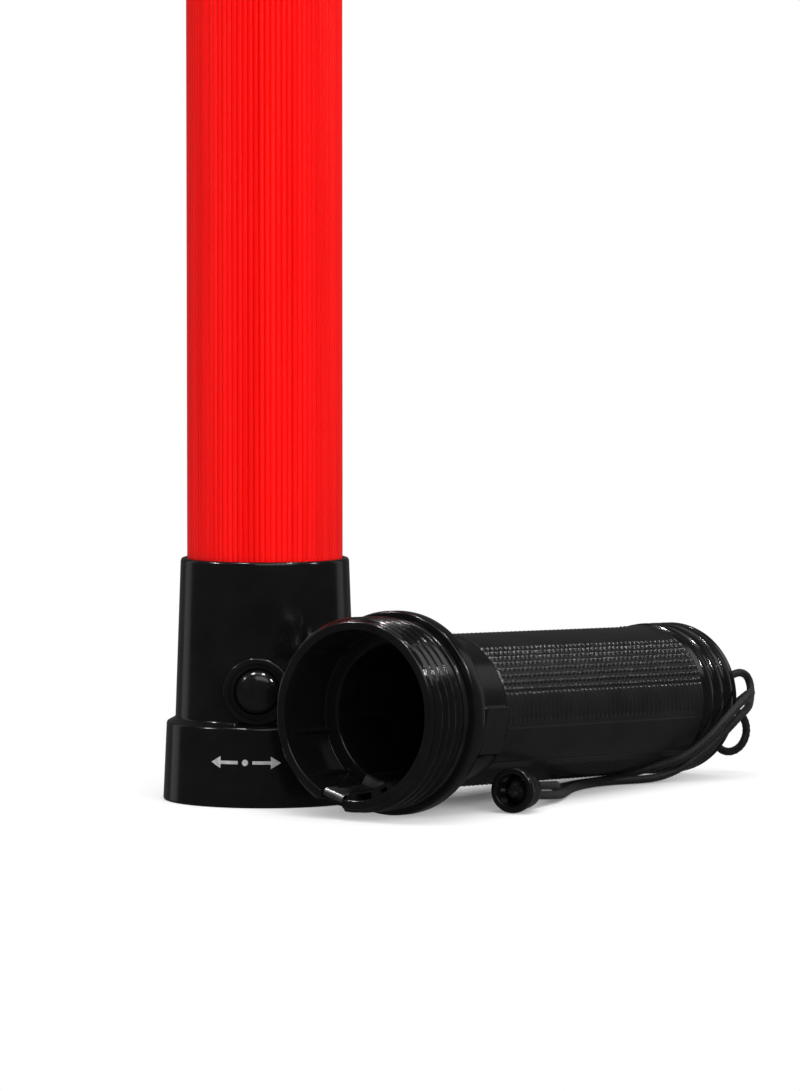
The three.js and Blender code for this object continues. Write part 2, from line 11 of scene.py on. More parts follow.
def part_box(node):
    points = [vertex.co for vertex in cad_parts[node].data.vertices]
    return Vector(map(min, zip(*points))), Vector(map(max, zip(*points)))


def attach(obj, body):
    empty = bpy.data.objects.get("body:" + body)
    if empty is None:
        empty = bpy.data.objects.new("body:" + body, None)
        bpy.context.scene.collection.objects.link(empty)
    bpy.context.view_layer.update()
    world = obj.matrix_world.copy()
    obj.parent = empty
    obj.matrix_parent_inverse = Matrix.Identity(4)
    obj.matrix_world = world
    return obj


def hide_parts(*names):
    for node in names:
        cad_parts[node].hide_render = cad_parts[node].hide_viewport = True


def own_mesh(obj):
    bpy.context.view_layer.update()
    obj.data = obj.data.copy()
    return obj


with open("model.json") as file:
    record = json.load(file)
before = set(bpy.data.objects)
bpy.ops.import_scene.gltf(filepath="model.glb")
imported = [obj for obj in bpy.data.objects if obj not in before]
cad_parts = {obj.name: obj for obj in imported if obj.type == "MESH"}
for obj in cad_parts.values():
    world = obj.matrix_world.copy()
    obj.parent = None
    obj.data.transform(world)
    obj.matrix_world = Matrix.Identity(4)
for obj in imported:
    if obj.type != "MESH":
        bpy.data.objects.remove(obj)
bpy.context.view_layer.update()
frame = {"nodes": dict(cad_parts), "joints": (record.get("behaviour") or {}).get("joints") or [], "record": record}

MM = 0.001
NODES = frame["nodes"]
RECORD = frame["record"]
JOINTS = {joint["name"]: joint for joint in frame["joints"]}
scene = bpy.context.scene


# ------------------------ places read from the frame
def box_middle(node):
    """Middle of a CAD node's box, in metres."""
    low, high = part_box(node)
    return (low + high) / 2


tube_middle = box_middle("diffuser_tube")
HEAD_PLACE = Matrix.Translation((tube_middle.x, tube_middle.y, 0))

tail_mount = {mount["name"]: mount for mount in RECORD["mounts"]}["tail_end"]
tail_out = Vector(tail_mount["axis"]).normalized()
_, tail_y, tail_z = tail_mount["pos_m"]
GRIP_PLACE = Matrix.Translation((box_middle("grip_shell").x, tail_y, tail_z)) @ Matrix((
    (1, 0, 0, 0),
    (0, -tail_out.z, -tail_out.y, 0),
    (0, tail_out.y, -tail_out.z, 0),
    (0, 0, 0, 1),
))  # local Z from the tail to the mouth

bell_back = Vector(JOINTS["cord_stop_slide"]["axis"]).normalized()
BELL_MOUTH = Vector((48.4, -38.7, 5.97)) * MM  # middle of the bell's open end
BELL_PLACE = (
    Matrix.Translation(BELL_MOUTH)
    @ bell_back.to_track_quat("Z", "Y").to_matrix().to_4x4()
)  # local Z from the open end to the cord's hole

button_out = -Vector(JOINTS["button_press"]["axis"]).normalized()
BUTTON_HEIGHT = 29.5
BUTTON_PLACE = (
    HEAD_PLACE
    @ Matrix.Translation((0, 0, BUTTON_HEIGHT * MM))
    @ button_out.to_track_quat("Z", "Y").to_matrix().to_4x4()
)  # local Z outwards, its height the distance from the head's axis

# ------------------------ camera
CAMERA_TILT = math.radians(86.37)
CAMERA_TURN = math.radians(34.28)

camera = bpy.data.objects.new("camera", bpy.data.cameras.new("camera"))
camera.location = (0.9244, -1.3734, 0.1690)
camera.rotation_euler = (CAMERA_TILT, 0, CAMERA_TURN)
camera.data.lens = 210.12
camera.data.sensor_width = 36
camera.data.clip_end = 40
scene.collection.objects.link(camera)
scene.camera = camera


# ------------------------ mesh helpers
def mesh_object(name, points, faces, place):
    """An object from points in millimetres in a local frame."""
    mesh = bpy.data.meshes.new(name)
    moved = np.asarray(points, float) * MM @ np.array(place)[:3, :3].T + np.array(place)[:3, 3]
    mesh.from_pydata(moved.tolist(), [], [tuple(f) for f in faces])
    obj = bpy.data.objects.new(name, mesh)
    scene.collection.objects.link(obj)
    return obj


def piece(name, points, faces, place, body, slot, stands_for=(), crease=38):
    """A visible piece: turned outwards, given its material and fixed to a body."""
    obj = mesh_object(name, points, faces, place)
    obj.data.validate()
    settle(obj, crease)
    fasten(obj, body, slot, stands_for)
    return obj


def settle(obj, crease=38):
    """Smooth shading with sharp edges, and faces turned outwards."""
    mesh = obj.data
    work = bmesh.new()
    work.from_mesh(mesh)
    if work.calc_volume(signed=True) < 0:
        bmesh.ops.reverse_faces(work, faces=work.faces)
    work.to_mesh(mesh)
    work.free()
    mesh.shade_smooth()
    mesh.set_sharp_from_angle(angle=math.radians(crease))


def fasten(obj, body, slot, stands_for):
    """Sets a piece's material, hides the CAD nodes that it stands for and fixes it to the body that it rides on.
    """
    obj.data.materials.clear()
    obj.data.materials.append(MATERIALS[slot])
    if stands_for:
        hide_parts(*stands_for)
    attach(obj, body)


def soften(outline, steps=4):
    """Rounds the corners of a closed outline of (radius, height, fillet) points."""
    rounded = []
    count = len(outline)
    for i, (radius, height, fillet) in enumerate(outline):
        here = np.array((radius, height))
        before = np.array(outline[i - 1][:2]) - here
        after = np.array(outline[(i + 1) % count][:2]) - here
        reach_before = min(fillet, 0.45 * np.linalg.norm(before))
        reach_after = min(fillet, 0.45 * np.linalg.norm(after))
        if fillet <= 0:
            rounded.append(tuple(here))
            continue
        start = here + before / np.linalg.norm(before) * reach_before
        end = here + after / np.linalg.norm(after) * reach_after
        for t in np.linspace(0, 1, steps + 1):
            rounded.append(tuple((1 - t) ** 2 * start + 2 * t * (1 - t) * here + t ** 2 * end))
    return rounded


def refine(outline, longest, closed=True):
    """Splits each run of an outline into steps of at most longest(start, end)."""
    fine = []
    for i, start in enumerate(outline):
        fine.append(start)
        if i == len(outline) - 1 and not closed:
            continue
        end = outline[(i + 1) % len(outline)]
        parts = max(1, math.ceil(math.dist(start, end) / longest(start, end)))
        for k in range(1, parts):
            t = k / parts
            fine.append((start[0] + (end[0] - start[0]) * t, start[1] + (end[1] - start[1]) * t))
    return fine


def steps_between(low, high, longest):
    """A rule for refine: short steps between two heights and whole runs outside them."""
    def rule(start, end):
        outside = max(start[1], end[1]) < low or min(start[1], end[1]) > high
        return math.inf if outside else longest
    return rule


def ring_faces(rings, columns, closed):
    """Faces between rings of points, and from the last ring back to the first where closed."""
    faces = []
    for i in range(rings if closed else rings - 1):
        k = (i + 1) % rings
        for j in range(columns):
            m = (j + 1) % columns
            faces.append((i * columns + j, i * columns + m, k * columns + m, k * columns + j))
    return faces


def end_fans(rings, columns):
    """Faces from the first and the last ring to the two points that follow all rings."""
    apex = rings * columns
    last = apex - columns
    faces = []
    for j in range(columns):
        m = (j + 1) % columns
        faces.append((m, j, apex))
        faces.append((last + j, last + m, apex + 1))
    return faces


def lathe(outline, columns, shape=None):
    """Points and faces of a closed outline turned about Z.

    shape(angles, radii, heights) gives the radii and heights that the points move to.
    """
    profile = np.array(outline, float)
    angles = np.linspace(0, 2 * math.pi, columns, endpoint=False)
    turn = np.broadcast_to(angles, (len(profile), columns))
    radii = np.repeat(profile[:, :1], columns, axis=1)
    heights = np.repeat(profile[:, 1:], columns, axis=1)
    if shape is not None:
        radii, heights = shape(turn, radii, heights)
    points = np.stack((radii * np.cos(turn), radii * np.sin(turn), heights), axis=-1).reshape(-1, 3)
    return points, ring_faces(len(profile), columns, closed=True)


def capped_lathe(outline, columns, shape=None):
    """As lathe, for an open outline whose first and last rings close with a fan on the axis."""
    points, _ = lathe(outline, columns, shape)
    rings = len(outline)
    first = points[:columns].mean(axis=0)
    last = points[(rings - 1) * columns:].mean(axis=0)
    faces = ring_faces(rings, columns, closed=False) + end_fans(rings, columns)
    return np.vstack((points, first, last)), faces


def step(value, low, high):
    """0 below low, 1 above high, smooth between."""
    t = np.clip((value - low) / (high - low), 0, 1)
    return t * t * (3 - 2 * t)


def window(value, low, high, soft):
    """1 between low and high and 0 outside, smooth over soft to each side of both."""
    return step(value, low - soft, low + soft) * (1 - step(value, high - soft, high + soft))


def off_angle(turn, degrees):
    """Signed angle in degrees from a direction."""
    return (np.degrees(turn) - degrees + 180) % 360 - 180


def boolean(obj, tool, operation):
    """Joins a tool to an object or cuts it out, and removes the tool."""
    modifier = obj.modifiers.new("boolean", "BOOLEAN")
    modifier.operation = operation
    modifier.solver = "EXACT"
    modifier.object = tool
    bpy.context.view_layer.update()
    graph = bpy.context.evaluated_depsgraph_get()
    mesh = bpy.data.meshes.new_from_object(obj.evaluated_get(graph))
    obj.modifiers.clear()
    obj.data = mesh
    bpy.data.objects.remove(tool)


def tool_mesh(name, points, faces, place):
    """A mesh object turned outwards, for boolean()."""
    obj = mesh_object(name, points, faces, place)
    settle(obj)
    return obj


# ------------------------ materials
def new_material(name, metallic=0.0, specular=0.3):
    """A material whose colour and roughness surface_noise() sets."""
    material = bpy.data.materials.new(name)
    material.use_nodes = True
    shader = material.node_tree.nodes["Principled BSDF"]
    shader.inputs["Metallic"].default_value = metallic
    shader.inputs["Specular IOR Level"].default_value = specular
    return material


def surface_noise(material, low, high, rough, scale, bump=0.0, bump_scale=None, stretch=(1, 1, 1)):
    """One noise spreads colour from low to high and roughness over rough, and a finer one is the bump."""
    tree = material.node_tree
    make, link = tree.nodes.new, tree.links.new
    shader = tree.nodes["Principled BSDF"]
    coordinates = make("ShaderNodeTexCoord")
    mapping = make("ShaderNodeMapping")
    mapping.inputs["Scale"].default_value = stretch
    link(coordinates.outputs["Object"], mapping.inputs["Vector"])
    noise = make("ShaderNodeTexNoise")
    noise.inputs["Scale"].default_value = scale
    noise.inputs["Detail"].default_value = 5
    noise.inputs["Roughness"].default_value = 0.6
    link(mapping.outputs["Vector"], noise.inputs["Vector"])
    ramp = make("ShaderNodeValToRGB")
    ramp.color_ramp.elements[0].position = 0.3
    ramp.color_ramp.elements[0].color = (*low, 1)
    ramp.color_ramp.elements[1].position = 0.72
    ramp.color_ramp.elements[1].color = (*high, 1)
    link(noise.outputs["Fac"], ramp.inputs["Fac"])
    link(ramp.outputs["Color"], shader.inputs["Base Color"])
    spread = make("ShaderNodeMapRange")
    spread.inputs["From Min"].default_value = 0.3
    spread.inputs["From Max"].default_value = 0.7
    spread.inputs["To Min"].default_value = rough[0]
    spread.inputs["To Max"].default_value = rough[1]
    link(noise.outputs["Fac"], spread.inputs["Value"])
    link(spread.outputs["Result"], shader.inputs["Roughness"])
    if bump:
        grain = make("ShaderNodeTexNoise")
        grain.inputs["Scale"].default_value = bump_scale
        grain.inputs["Detail"].default_value = 3
        link(mapping.outputs["Vector"], grain.inputs["Vector"])
        relief = make("ShaderNodeBump")
        relief.inputs["Strength"].default_value = bump
        relief.inputs["Distance"].default_value = 0.0001
        link(grain.outputs["Fac"], relief.inputs["Height"])
        link(relief.outputs["Normal"], shader.inputs["Normal"])
    return material


MATERIALS = {
    "black_plastic": surface_noise(
        new_material("moulded_black_plastic"),
        (0.0026, 0.0026, 0.0028), (0.0048, 0.0048, 0.005), (0.1, 0.17), 90, 0.15, 2600),
    "grip_plastic": surface_noise(
        new_material("satin_black_plastic"),
        (0.0045, 0.0045, 0.0048), (0.008, 0.008, 0.0085), (0.27, 0.36), 90, 0.1, 2600),
    "red_plastic": surface_noise(
        new_material("red_diffuser_plastic"),
        (0.68, 0.0012, 0.001), (0.88, 0.003, 0.002), (0.15, 0.24), 430, 0.1, 1800, (1, 1, 0.012)),
    "black_rubber": surface_noise(
        new_material("moulded_rubber"),
        (0.0038, 0.0038, 0.004), (0.0075, 0.0075, 0.008), (0.1, 0.16), 160, 0.15, 3200),
    "steel": surface_noise(
        new_material("plated_steel", metallic=1.0),
        (0.14, 0.14, 0.142), (0.28, 0.28, 0.283), (0.3, 0.5), 260, 0.2, 2400, (1, 0.12, 1)),
    "brass": surface_noise(
        new_material("pressed_brass", metallic=1.0),
        (0.6, 0.42, 0.17), (0.8, 0.6, 0.28), (0.2, 0.4), 300, 0.2, 2400),
    "white_plastic": surface_noise(
        new_material("white_moulded_plastic"),
        (0.7, 0.7, 0.67), (0.84, 0.84, 0.81), (0.38, 0.52), 120, 0.2, 2200),
    "circuit_board": surface_noise(
        new_material("green_solder_mask"),
        (0.012, 0.11, 0.04), (0.03, 0.2, 0.075), (0.3, 0.45), 700, 0.2, 3000),
    "led_lens": surface_noise(
        new_material("led_phosphor"),
        (0.82, 0.7, 0.36), (0.92, 0.88, 0.7), (0.12, 0.25), 400, 0.1, 2400),
    "wire_red": surface_noise(
        new_material("red_wire_insulation"),
        (0.36, 0.012, 0.012), (0.52, 0.03, 0.028), (0.35, 0.48), 300, 0.1, 2400),
    "wire_black": surface_noise(
        new_material("black_wire_insulation"),
        (0.008, 0.008, 0.008), (0.018, 0.018, 0.018), (0.35, 0.5), 300, 0.1, 2400),
    "pale_print": surface_noise(
        new_material("pale_print"),
        (0.24, 0.24, 0.24), (0.4, 0.4, 0.4), (0.45, 0.6), 900, 0.1, 2400),
}


def cord_material():
    """Braided polyester: a fine yarn grain over the braid's own relief, with a soft sheen."""
    material = new_material("black_braided_polyester", specular=0.2)
    surface_noise(material, (0.0015, 0.0015, 0.0017), (0.011, 0.011, 0.012), (0.5, 0.7), 1300, 0.5, 5200)
    shader = material.node_tree.nodes["Principled BSDF"]
    shader.inputs["Sheen Weight"].default_value = 0.04
    shader.inputs["Sheen Roughness"].default_value = 0.5
    return material


MATERIALS["black_cord"] = cord_material()

# ------------------------ cords
CORD_D = 2.2
RING_SPACING = 0.22  # between a cord's rings of points

# The same points as the solids of the two strands and the hitch, in metres.
STRAND_A = (
    (0.0471, -0.0309, 0.0039), (0.04615, -0.025, 0.0034), (0.04535, -0.0201, 0.00295),
    (0.0445, -0.015, 0.0025), (0.0431, -0.0095, 0.002), (0.0409, -0.0038, 0.0015),
    (0.038, 0.0024, 0.0012), (0.0348, 0.009, 0.0012), (0.0319, 0.0166, 0.0012),
    (0.0304, 0.0244, 0.0012), (0.0307, 0.0316, 0.0012), (0.0328, 0.0378, 0.0012),
    (0.0357, 0.0428, 0.0012), (0.038, 0.0476, 0.0014), (0.0396, 0.0524, 0.0025),
    (0.0408, 0.0566, 0.004), (0.042, 0.0604, 0.0058), (0.0436, 0.0639, 0.0081),
    (0.0453, 0.0674, 0.011), (0.0467, 0.071, 0.0142), (0.0473, 0.0752, 0.0168),
    (0.0464, 0.0796, 0.0179), (0.0444, 0.0838, 0.0186), (0.0425, 0.0876, 0.0202),
    (0.0412, 0.0898, 0.0229), (0.0405, 0.0892, 0.0258), (0.0402, 0.0856, 0.0271),
    (0.04015, 0.0808, 0.0262), (0.04015, 0.0772, 0.0253), (0.04015, 0.0744, 0.0252),
)
STRAND_B = (
    (0.0471, -0.0307, 0.0064), (0.04615, -0.0248, 0.0059), (0.04535, -0.0199, 0.00545),
    (0.0444, -0.0148, 0.005), (0.0427, -0.0092, 0.0045), (0.0396, -0.004, 0.0039),
    (0.0356, 0.0012, 0.0029), (0.0317, 0.0076, 0.0016), (0.029, 0.016, 0.0012),
    (0.0275, 0.0246, 0.0012), (0.028, 0.0324, 0.0012), (0.0299, 0.038, 0.0015),
    (0.0324, 0.0423, 0.0025), (0.0354, 0.046, 0.0037), (0.0388, 0.0494, 0.0048),
    (0.0418, 0.0524, 0.0061), (0.0441, 0.0558, 0.0081), (0.046, 0.059, 0.0107),
    (0.0474, 0.0626, 0.0138), (0.0483, 0.0668, 0.0169), (0.0487, 0.0714, 0.0197),
    (0.0489, 0.0756, 0.0216), (0.0482, 0.079, 0.0224), (0.0459, 0.0812, 0.022),
    (0.0432, 0.081, 0.0199), (0.0413, 0.0788, 0.0176), (0.0407, 0.0766, 0.0172),
    (0.0407, 0.0744, 0.0172),
)
HITCH = (
    (0.03755, 0.0744, 0.025), (0.0375, 0.0772, 0.025), (0.0372, 0.0808, 0.0244),
    (0.0357, 0.0836, 0.0209), (0.034, 0.0839, 0.0158), (0.0331, 0.0834, 0.0106),
    (0.0342, 0.0838, 0.0062), (0.0373, 0.085, 0.0048), (0.0402, 0.0868, 0.0066),
    (0.0414, 0.0879, 0.0106), (0.041, 0.087, 0.0146), (0.0397, 0.084, 0.017),
    (0.0385, 0.0806, 0.0173), (0.0381, 0.0772, 0.0171), (0.0381, 0.0744, 0.01705),
)


def rope_line(control, spacing):
    """Evenly spaced points of the uniform cubic B-spline from the first control point to the last."""
    fixed = np.array(control, float)
    fixed = np.vstack((2 * fixed[0] - fixed[1], fixed, 2 * fixed[-1] - fixed[-2]))
    spans = len(fixed) - 3
    t = np.linspace(0, spans, spans * 60 + 1)
    span = np.minimum(t.astype(int), spans - 1)
    u = (t - span)[:, None]
    weights = ((1 - u) ** 3, 3 * u ** 3 - 6 * u ** 2 + 4, -3 * u ** 3 + 3 * u ** 2 + 3 * u + 1, u ** 3)
    line = sum(w * fixed[span + i] for i, w in enumerate(weights)) / 6
    along = np.concatenate(((0,), np.cumsum(np.linalg.norm(np.diff(line, axis=0), axis=1))))
    marks = np.linspace(0, along[-1], max(2, round(along[-1] / spacing)) + 1)
    even = np.stack([np.interp(marks, along, line[:, i]) for i in range(3)], axis=1)
    return even, along[-1]


def line_frames(line):
    """Two directions across a line at each point, carried along it without twist."""
    tangents = np.gradient(line, axis=0)
    tangents /= np.linalg.norm(tangents, axis=1)[:, None]
    across = np.cross(tangents[0], (0.0, 0.0, 1.0))
    across /= np.linalg.norm(across)
    first = []
    for tangent in tangents:
        across = across - tangent * across.dot(tangent)
        across /= np.linalg.norm(across)
        first.append(across)
    first = np.array(first)
    return first, np.cross(tangents, first)


BRAID_YARNS = 8  # yarns in each direction
BRAID_PITCH = 1.25 * MM  # along the cord
BRAID_RELIEF = 0.13  # of the radius


def braid_relief(angle, along):
    """Height, 0 to 1, of a diamond braid: each cell shows one yarn, bulged across it and along it."""
    one = BRAID_YARNS * angle / (2 * math.pi) + along / BRAID_PITCH
    two = BRAID_YARNS * angle / (2 * math.pi) - along / BRAID_PITCH
    over = (np.floor(one) + np.floor(two)) % 2
    bulge_one = np.sin(math.pi * (one % 1))
    bulge_two = np.sin(math.pi * (two % 1))
    return np.where(over > 0, bulge_one ** 0.5 * bulge_two, bulge_two ** 0.5 * bulge_one)


def tube_along(line, radius, sides, relief=None):
    """Points and faces of a tube round a line, rounded at both ends. relief(angle, along) gives heights."""
    first, second = line_frames(line)
    along = np.concatenate(((0,), np.cumsum(np.linalg.norm(np.diff(line, axis=0), axis=1))))
    angles = np.linspace(0, 2 * math.pi, sides, endpoint=False)
    turn, run = np.meshgrid(angles, along)
    radii = np.full(turn.shape, radius)
    if relief is not None:
        radii = radius * (1 - BRAID_RELIEF + BRAID_RELIEF * relief(turn, run))
    from_end = np.minimum(along, along[-1] - along)
    squeeze = np.sqrt(np.clip(1 - (1 - np.clip(from_end / (0.6 * radius), 0, 1)) ** 2, 0.02, 1))
    radii = radii * squeeze[:, None]
    ring = np.cos(turn)[..., None] * first[:, None, :] + np.sin(turn)[..., None] * second[:, None, :]
    points = (line[:, None, :] + ring * radii[..., None]).reshape(-1, 3)
    points = np.vstack((points, line[0], line[-1]))
    return points, ring_faces(len(line), sides, closed=False) + end_fans(len(line), sides)


IN_METRES = Matrix.Diagonal((1 / MM, 1 / MM, 1 / MM, 1))  # place of points that are in metres already


def rope(name, control, node):
    """One cord of the lanyard, with the line through its middle and its length."""
    line, length = rope_line(control, RING_SPACING * MM)
    points, faces = tube_along(line, CORD_D / 2 * MM, 32, braid_relief)
    obj = piece(name, points, faces, IN_METRES, "grip", "black_cord", (node,), crease=180)
    return obj, line, length


strand_a, line_a, length_a = rope("strand_a_braid", STRAND_A, "lanyard_strand_a")
strand_b, line_b, length_b = rope("strand_b_braid", STRAND_B, "lanyard_strand_b")
hitch, line_h, length_h = rope("hitch_braid", HITCH, "lanyard_hitch")


def cord_knot():
    """The knot in the bell: a tight three-lobed knot of the same cord."""
    depth, radius, sides = 4.9, 1.05, 20
    t = np.linspace(0, 2 * math.pi, 97)[:-1]
    lobe = 1.15 + 0.62 * np.cos(3 * t)
    loop = np.stack((lobe * np.cos(2 * t), lobe * np.sin(2 * t), depth + 1.2 * np.sin(3 * t)), axis=1)
    tangents = np.roll(loop, -1, axis=0) - np.roll(loop, 1, axis=0)
    tangents /= np.linalg.norm(tangents, axis=1)[:, None]
    outward = loop - np.array((0, 0, depth))
    outward -= tangents * np.sum(outward * tangents, axis=1)[:, None]
    outward /= np.linalg.norm(outward, axis=1)[:, None]
    beside = np.cross(tangents, outward)
    angles = np.linspace(0, 2 * math.pi, sides, endpoint=False)
    turn, run = np.meshgrid(angles, np.arange(len(loop)) * RING_SPACING * MM)
    radii = radius * (1 - BRAID_RELIEF + BRAID_RELIEF * braid_relief(turn, run))
    ring = np.cos(turn)[..., None] * outward[:, None, :] + np.sin(turn)[..., None] * beside[:, None, :]
    points = (loop[:, None, :] + ring * radii[..., None]).reshape(-1, 3)
    faces = ring_faces(len(loop), sides, closed=True)
    return piece("cord_knot", points, faces, BELL_PLACE, "grip", "black_cord", ("lanyard_knot",), crease=180)


knot = cord_knot()

# ------------------------ grip
GRIP_LENGTH = 151.75
GRIP_R = 19.1
OUTSIDE_R = 18.5  # below the mouth, points further out are on the outer surface
BORE_R = 17.4
CUP_R = 21.2
CUP_BOTTOM = GRIP_LENGTH - 18
FLANGE_R = 25.7
FLANGE_TOP = GRIP_LENGTH - 16.4
FLANGE_BOTTOM = FLANGE_TOP - 5
GROOVE_R = 22.7
GROOVE_TOP = FLANGE_TOP + 2.8
THREAD_CREST_R = 24.45
THREAD_ROOT_R = 23.5
THREAD_PITCH = 3.0
FLAT_R = 22.75  # flat across the thread beside the contact strip
TAIL_CAP_LENGTH = 16.5
TAIL_JOINT = TAIL_CAP_LENGTH + 0.15
TAIL_R = 20.1
STRIP_TURN = -107
GRIP_COLUMNS = 528

KNURL_LOW = 17.65
KNURL_HIGH = 110.4
KNURL_PITCH = 2.05
KNURL_GROOVES = 66
GROOVE_TURN = math.radians(15.6)  # the bottom of one lengthwise groove
PANEL_MIDDLE = -26.5  # middle of the smooth panel on the side, in degrees round the grip
PANEL_HALF = 14.5
LUG_TURNS = (-11.5, 168.5)
LUG_FACE = 20.3
LUG_HALF_WIDTH = 6.4
LUG_REACH = 18.5  # degrees to each side that take in the whole lug
LUG_LOW, LUG_HIGH = GRIP_LENGTH - 39.5, GRIP_LENGTH - 29.1
CUP_RIBS = (20, 75, 135, 195, 228, 247)
NOTCH_DEPTH = 2.3


def knurl(turn, heights):
    """Relief of the grip: ribs round it, cut into beads by lengthwise grooves over part of its round."""
    rib = 0.5 + 0.5 * np.cos(2 * math.pi * (heights - KNURL_LOW) / KNURL_PITCH)
    groove = 0.5 - 0.5 * np.cos(KNURL_GROOVES * (turn - GROOVE_TURN))
    side = np.abs(off_angle(turn, PANEL_MIDDLE))
    near_ribs = step(side, 19, 24) * (1 - step(side, 41.2, 42.8))
    far_ribs = step(side, 137.2, 138.8) * (1 - step(side, 156, 161))
    ribs = near_ribs + far_ribs
    beads = step(side, 41.2, 42.8) * (1 - step(side, 80, 91)) + window(side, 129, 138, 1.5)
    ends = window(heights, KNURL_LOW, KNURL_HIGH, 0.5)
    return ends * (ribs * 0.5 * (rib - 0.35) + beads * 0.66 * (rib * groove - 0.25))


def panel_lines(turn, heights):
    """Thin flash lines along both edges of each smooth panel."""
    side = np.abs(off_angle(turn, PANEL_MIDDLE))
    edge = np.minimum(np.abs(side - PANEL_HALF), np.abs(side - (180 - PANEL_HALF)))
    return 0.14 * (1 - step(edge, 0.3, 1.0)) * window(heights, KNURL_LOW, KNURL_HIGH, 0.5)


def male_thread(turn, heights):
    """Radius of the screw thread at the mouth."""
    phase = (heights / THREAD_PITCH - turn / (2 * math.pi)) % 1
    valley = step(np.abs(phase - 0.5), 0.12, 0.36)
    return THREAD_ROOT_R + (THREAD_CREST_R - THREAD_ROOT_R) * (1 - valley)


def body_relief(turn, radii, heights):
    """The held part: its knurl, the raised sleeve under the knurl and a slight flare at the tail."""
    flare = 1 - step(heights, TAIL_JOINT, TAIL_JOINT + 5)
    sleeve = window(heights, TAIL_JOINT, KNURL_HIGH + 0.4, 0.15)
    relief = knurl(turn, heights) + panel_lines(turn, heights)
    return radii + relief + (0.4 * flare + 0.3 * sleeve - 0.1)


def with_lugs(turn, radii, heights):
    """The flat lugs on both sides of the neck."""
    for lug in LUG_TURNS:
        off = np.radians(off_angle(turn, lug))
        flat = LUG_FACE / np.maximum(np.cos(off), 0.2)
        across = np.abs(LUG_FACE * np.tan(np.clip(off, -1.2, 1.2)))
        amount = 1 - step(across, LUG_HALF_WIDTH - 0.35, LUG_HALF_WIDTH + 0.1)
        amount = amount * window(heights, LUG_LOW, LUG_HIGH, 0.25) * (np.abs(off) < 1)
        radii = np.maximum(radii, radii + (flat - radii) * amount)
    return radii


def with_thread(turn, radii, heights):
    """The male thread, cut by a flat beside the contact strip and crossed by two mould seams."""
    fade = window(heights, GROOVE_TOP + 0.9, GRIP_LENGTH - 1.1, 0.5)
    thread = radii + (male_thread(turn, heights) - radii) * fade
    off_flat = step(np.abs(off_angle(turn, STRIP_TURN)), 7, 10.5)
    thread = FLAT_R + (thread - FLAT_R) * off_flat
    for seam in LUG_TURNS:
        thread = thread + 0.16 * (1 - step(np.abs(off_angle(turn, seam)), 0.4, 1.1)) * fade
    return np.clip(thread, FLAT_R - 0.05, THREAD_CREST_R)


def with_cup_ribs(turn, radii, heights):
    """The thin ribs along the wall of the mouth."""
    for rib in CUP_RIBS:
        across = np.abs(CUP_R * np.radians(off_angle(turn, rib)))
        amount = (1 - step(across, 0.3, 0.62)) * window(heights, CUP_BOTTOM - 1, CUP_BOTTOM + 13, 0.3)
        radii = radii - 1.1 * amount
    return radii


def shape_grip(turn, radii, heights):
    """Relief of each part of the wall, the strip's groove down the bore and its notch in the rim."""
    body = (radii > OUTSIDE_R) & (heights > TAIL_JOINT + 0.4) & (heights < FLANGE_BOTTOM - 1.5)
    threaded = (radii > THREAD_ROOT_R) & (heights > GROOVE_TOP + 0.4) & (heights < GRIP_LENGTH - 0.5)
    cup = (np.abs(radii - CUP_R) < 0.4) & (heights > CUP_BOTTOM - 0.3) & (heights < GRIP_LENGTH - 0.3)
    bore = (radii < BORE_R + 0.05) & (heights > TAIL_JOINT + 1) & (heights < CUP_BOTTOM)
    off_strip = np.abs(np.radians(off_angle(turn, STRIP_TURN)))
    groove = 1 - step(BORE_R * off_strip, 3.2, 3.7)

    moved = np.where(body, with_lugs(turn, body_relief(turn, radii, heights), heights), radii)
    moved = np.where(threaded, with_thread(turn, radii, heights), moved)
    moved = np.where(cup, with_cup_ribs(turn, moved, heights), moved)
    moved = np.where(bore, moved + groove, moved)

    notch_floor = GRIP_LENGTH - NOTCH_DEPTH
    at_rim = (heights > notch_floor) & (radii > CUP_R - 0.1)
    in_notch = 1 - step(CUP_R * off_strip, 3.3, 3.6)
    lowered = notch_floor + (heights - notch_floor) * (1 - 0.97 * in_notch)
    return moved, np.where(at_rim, lowered, heights)


def grip_steps(start, end):
    """A rule for refine: short steps along the held part and along the thread and the mouth."""
    outer = min(start[0], end[0]) > OUTSIDE_R
    if outer and max(start[1], end[1]) < FLANGE_BOTTOM - 3:
        return 0.342
    if outer and min(start[1], end[1]) > GROOVE_TOP - 0.5:
        return 0.3
    return 3.0


def grip_outline():
    """Section of the grip's wall."""
    outline = soften([
        (BORE_R, TAIL_JOINT, 0.3),
        (GRIP_R, TAIL_JOINT, 0.35),
        (GRIP_R, FLANGE_BOTTOM - 7.2, 3),
        (GRIP_R + 0.9, FLANGE_BOTTOM - 4, 2.5),
        (GRIP_R + 3.4, FLANGE_BOTTOM, 1.2),
        (FLANGE_R, FLANGE_BOTTOM, 1.3),
        (FLANGE_R, FLANGE_TOP, 0.7),
        (GROOVE_R, FLANGE_TOP, 0.25),
        (GROOVE_R, GROOVE_TOP, 0.25),
        (THREAD_ROOT_R + 0.1, GROOVE_TOP, 0.2),
        (THREAD_ROOT_R + 0.1, GRIP_LENGTH, 0.9),
        (CUP_R, GRIP_LENGTH, 0.55),
        (CUP_R, CUP_BOTTOM, 0.4),
        (BORE_R, CUP_BOTTOM - 0.3, 0.9),
    ], 5)
    return refine(outline, grip_steps)


grip_points, grip_faces = lathe(grip_outline(), GRIP_COLUMNS, shape_grip)
grip_tube = piece("grip_tube", grip_points, grip_faces, GRIP_PLACE, "grip", "black_plastic",
                  ("grip_shell",), 50)


